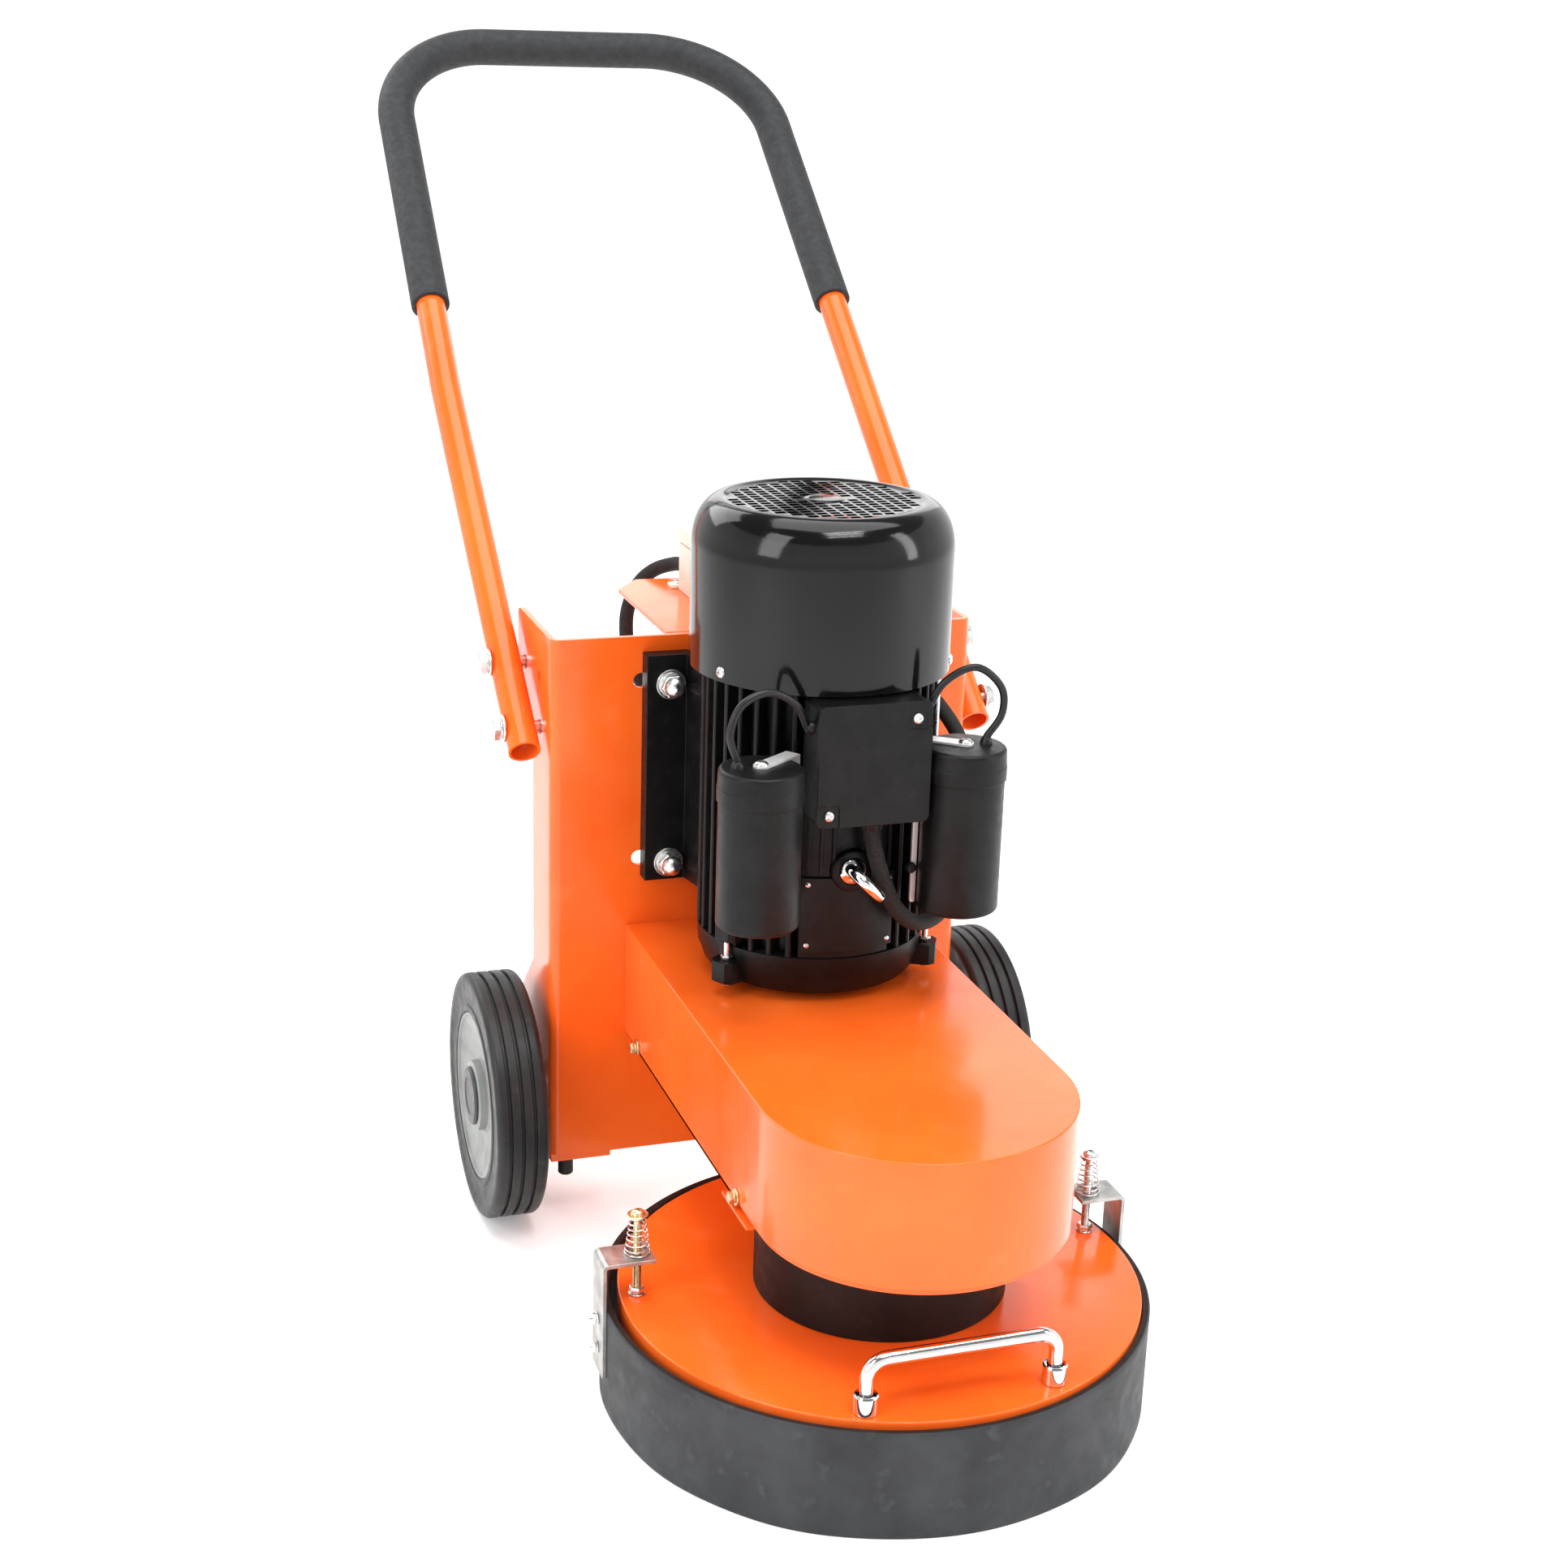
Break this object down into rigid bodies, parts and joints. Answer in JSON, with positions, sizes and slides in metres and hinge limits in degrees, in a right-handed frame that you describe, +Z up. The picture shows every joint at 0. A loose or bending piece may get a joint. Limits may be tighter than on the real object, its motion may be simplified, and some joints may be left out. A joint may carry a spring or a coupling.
{
  "type": "high speed burnisher",
  "caption": "Walk-behind floor grinding and polishing machine: vertical motor, belt drive under a guard, round disc head with sprung skirt, two wheels and loop handle.",
  "frame": {"origin": "on the floor, on the spindle's axis, at the centre of the working pad's lower face", "axes": "+Z up, +Y from the head towards the handle, +X to the right seen from the front of the head"},
  "size_m": [0.4626, 1.1816, 0.9205],
  "materials": {
    "orange_paint": "gloss",
    "black_paint": "gloss",
    "satin_black": "satin",
    "zinc": "zinc plated",
    "bright_steel": "machined",
    "chrome": "polished",
    "cast_iron": "machined",
    "black_rubber": "matt",
    "cable_rubber": "satin",
    "tyre_rubber": "satin",
    "foam": "matt foam",
    "wheel_grey": "satin",
    "cream_plastic": "satin",
    "green_plastic": "gloss",
    "red_plastic": "gloss",
    "pad_abrasive": "abrasive"
  },
  "bodies": {
    "machine": {"frame_channel": "orange_paint", "frame_foot_left": "black_rubber", "frame_foot_right": "black_rubber", "axle": "bright_steel", "switch_shelf": "orange_paint", "switch_box": "cream_plastic", "belt_guard": "orange_paint", "guard_floor": "orange_paint", "motor_housing": "satin_black", "end_bell_drive": "satin_black", "end_bell_fan": "satin_black", "fan_cover": "black_paint", "motor_foot_left": "satin_black", "motor_foot_right": "satin_black", "foot_bolt_left_1": "zinc", "foot_bolt_left_2": "zinc", "foot_bolt_right_1": "zinc", "foot_bolt_right_2": "zinc", "terminal_base": "satin_black", "terminal_lid": "satin_black", "capacitor_left": "satin_black", "capacitor_right": "satin_black", "capacitor_bracket_left": "zinc", "capacitor_bracket_right": "zinc", "capacitor_lead_left": "cable_rubber", "capacitor_lead_right": "cable_rubber", "eye_bolt": "bright_steel", "motor_lead": "cable_rubber", "v_belt": "black_rubber", "hub_housing": "black_paint", "spindle_bearing_lower": "bright_steel", "spindle_bearing_upper": "bright_steel", "deck": "orange_paint", "carry_handle": "chrome", "spring_bolt_left": "zinc", "spring_bolt_right": "zinc", "skirt_spring_left": "zinc", "skirt_spring_right": "zinc", "handle_tube": "orange_paint", "foam_grip": "foam", "handle_bolt_left_1": "zinc", "handle_bolt_left_2": "zinc", "handle_bolt_right_1": "zinc", "handle_bolt_right_2": "zinc"},
    "disc": {"spindle": "bright_steel", "driven_pulley": "cast_iron", "drive_plate": "cast_iron", "work_pad": "pad_abrasive"},
    "rotor": {"rotor": "bright_steel", "cooling_fan": "satin_black", "drive_pulley": "cast_iron"},
    "skirt": {"skirt_ring": "black_rubber", "skirt_bracket_left": "zinc", "skirt_bracket_right": "zinc"},
    "left_wheel": {"tyre_left": "tyre_rubber", "wheel_disc_left": "wheel_grey"},
    "right_wheel": {"tyre_right": "tyre_rubber", "wheel_disc_right": "wheel_grey"},
    "start_button": {"start_button": "green_plastic"},
    "stop_button": {"stop_button": "red_plastic"}
  },
  "joints": [
    {"name": "disc_spin", "type": "hinge", "parent": "machine", "child": "disc", "pos_m": [0, 0, 0.05], "axis": [0, 0, 1], "continuous": true},
    {"name": "rotor_spin", "type": "hinge", "parent": "machine", "child": "rotor", "pos_m": [0.003, 0.1834, 0.3], "axis": [0, 0, 1], "continuous": true},
    {"name": "skirt_slide", "type": "slide", "parent": "machine", "child": "skirt", "axis": [0, 0, 1], "range_m": [0, 0.016], "stiffness_N_per_m": 1200, "springref_m": -0.012, "deforming": ["skirt_spring_left", "skirt_spring_right"]},
    {"name": "left_wheel_spin", "type": "hinge", "parent": "machine", "child": "left_wheel", "pos_m": [-0.20695, 0.3376, 0.1], "axis": [1, 0, 0], "continuous": true},
    {"name": "right_wheel_spin", "type": "hinge", "parent": "machine", "child": "right_wheel", "pos_m": [0.20695, 0.3376, 0.1], "axis": [1, 0, 0], "continuous": true},
    {"name": "start_press", "type": "slide", "parent": "machine", "child": "start_button", "axis": [0, -1, 0], "range_m": [0, 0.004], "stiffness_N_per_m": 400, "springref_m": -0.001},
    {"name": "stop_press", "type": "slide", "parent": "machine", "child": "stop_button", "axis": [0, -1, 0], "range_m": [0, 0.004], "stiffness_N_per_m": 400, "springref_m": -0.001}
  ],
  "couplings": [
    {"joint": "rotor_spin", "follows": "disc_spin", "ratio": 2.1268}
  ]
}
